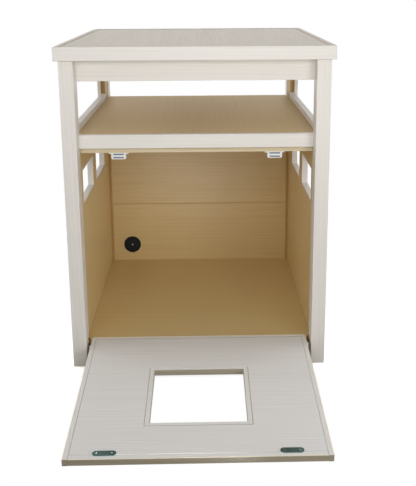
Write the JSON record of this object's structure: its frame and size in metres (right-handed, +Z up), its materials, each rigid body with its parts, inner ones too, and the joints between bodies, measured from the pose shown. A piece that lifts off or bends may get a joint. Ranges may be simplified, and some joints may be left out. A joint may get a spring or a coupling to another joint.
{
  "type": "cat litter box cabinet",
  "caption": "Wooden pet cabinet on posts: an open storage bay over a litter chamber with side windows, closed by a drop-front door with a cat opening",
  "frame": {"origin": "On the ground, in the middle of the width, midway between the tip of the open door and the back edge of the top", "axes": "+Z up; -Y the way the front faces and the open door reaches; +X to the right as seen from the front"},
  "size_m": [0.61, 1.136, 0.744],
  "materials": {
    "white_laminate": "satin",
    "tan_laminate": "satin",
    "white_plastic": "satin",
    "black_plastic": "matte",
    "steel": "satin",
    "magnet": "matte",
    "brass": "satin"
  },
  "bodies": {
    "cabinet": {"post_front_right": "white_laminate", "post_front_left": "white_laminate", "post_rear_right": "white_laminate", "post_rear_left": "white_laminate", "rim_front": "white_laminate", "rim_rear": "white_laminate", "rim_right": "white_laminate", "rim_left": "white_laminate", "top_panel": "white_laminate", "apron_front": "white_laminate", "apron_rear": "white_laminate", "apron_side_right": "white_laminate", "apron_side_left": "white_laminate", "shelf_panel": "tan_laminate", "shelf_rail_front": "white_laminate", "shelf_rail_side_right": "white_laminate", "shelf_rail_side_left": "white_laminate", "stop_strip": "tan_laminate", "side_panel_right": "tan_laminate", "side_panel_left": "tan_laminate", "window_liner_front_right": "white_laminate", "window_liner_front_left": "white_laminate", "window_liner_rear_right": "white_laminate", "window_liner_rear_left": "white_laminate", "back_board_lower": "tan_laminate", "back_board_upper": "tan_laminate", "floor_panel": "tan_laminate", "plug_ring": "black_plastic", "plug_cap": "black_plastic", "catch_housing_right": "white_plastic", "catch_housing_left": "white_plastic", "catch_poles_right": "steel", "catch_poles_left": "steel", "catch_magnet_right": "magnet", "catch_magnet_left": "magnet", "pivot_bush_right": "brass", "pivot_bush_left": "brass"},
    "door": {"door_board_lower": "white_laminate", "door_board_upper": "white_laminate", "door_strip_right": "white_laminate", "door_strip_left": "white_laminate", "door_strip_tip": "white_laminate", "door_strip_hinge": "white_laminate", "door_window_frame": "white_laminate", "strike_plate_right": "steel", "strike_plate_left": "steel", "strike_screws": "steel", "pivot_pin_right": "steel", "pivot_pin_left": "steel"}
  },
  "joints": [
    {"name": "door_hinge", "type": "hinge", "parent": "cabinet", "child": "door", "pos_m": [0, -0.10197, 0.0445], "axis": [-1, 0, 0], "range_deg": [0, 94.61]}
  ]
}
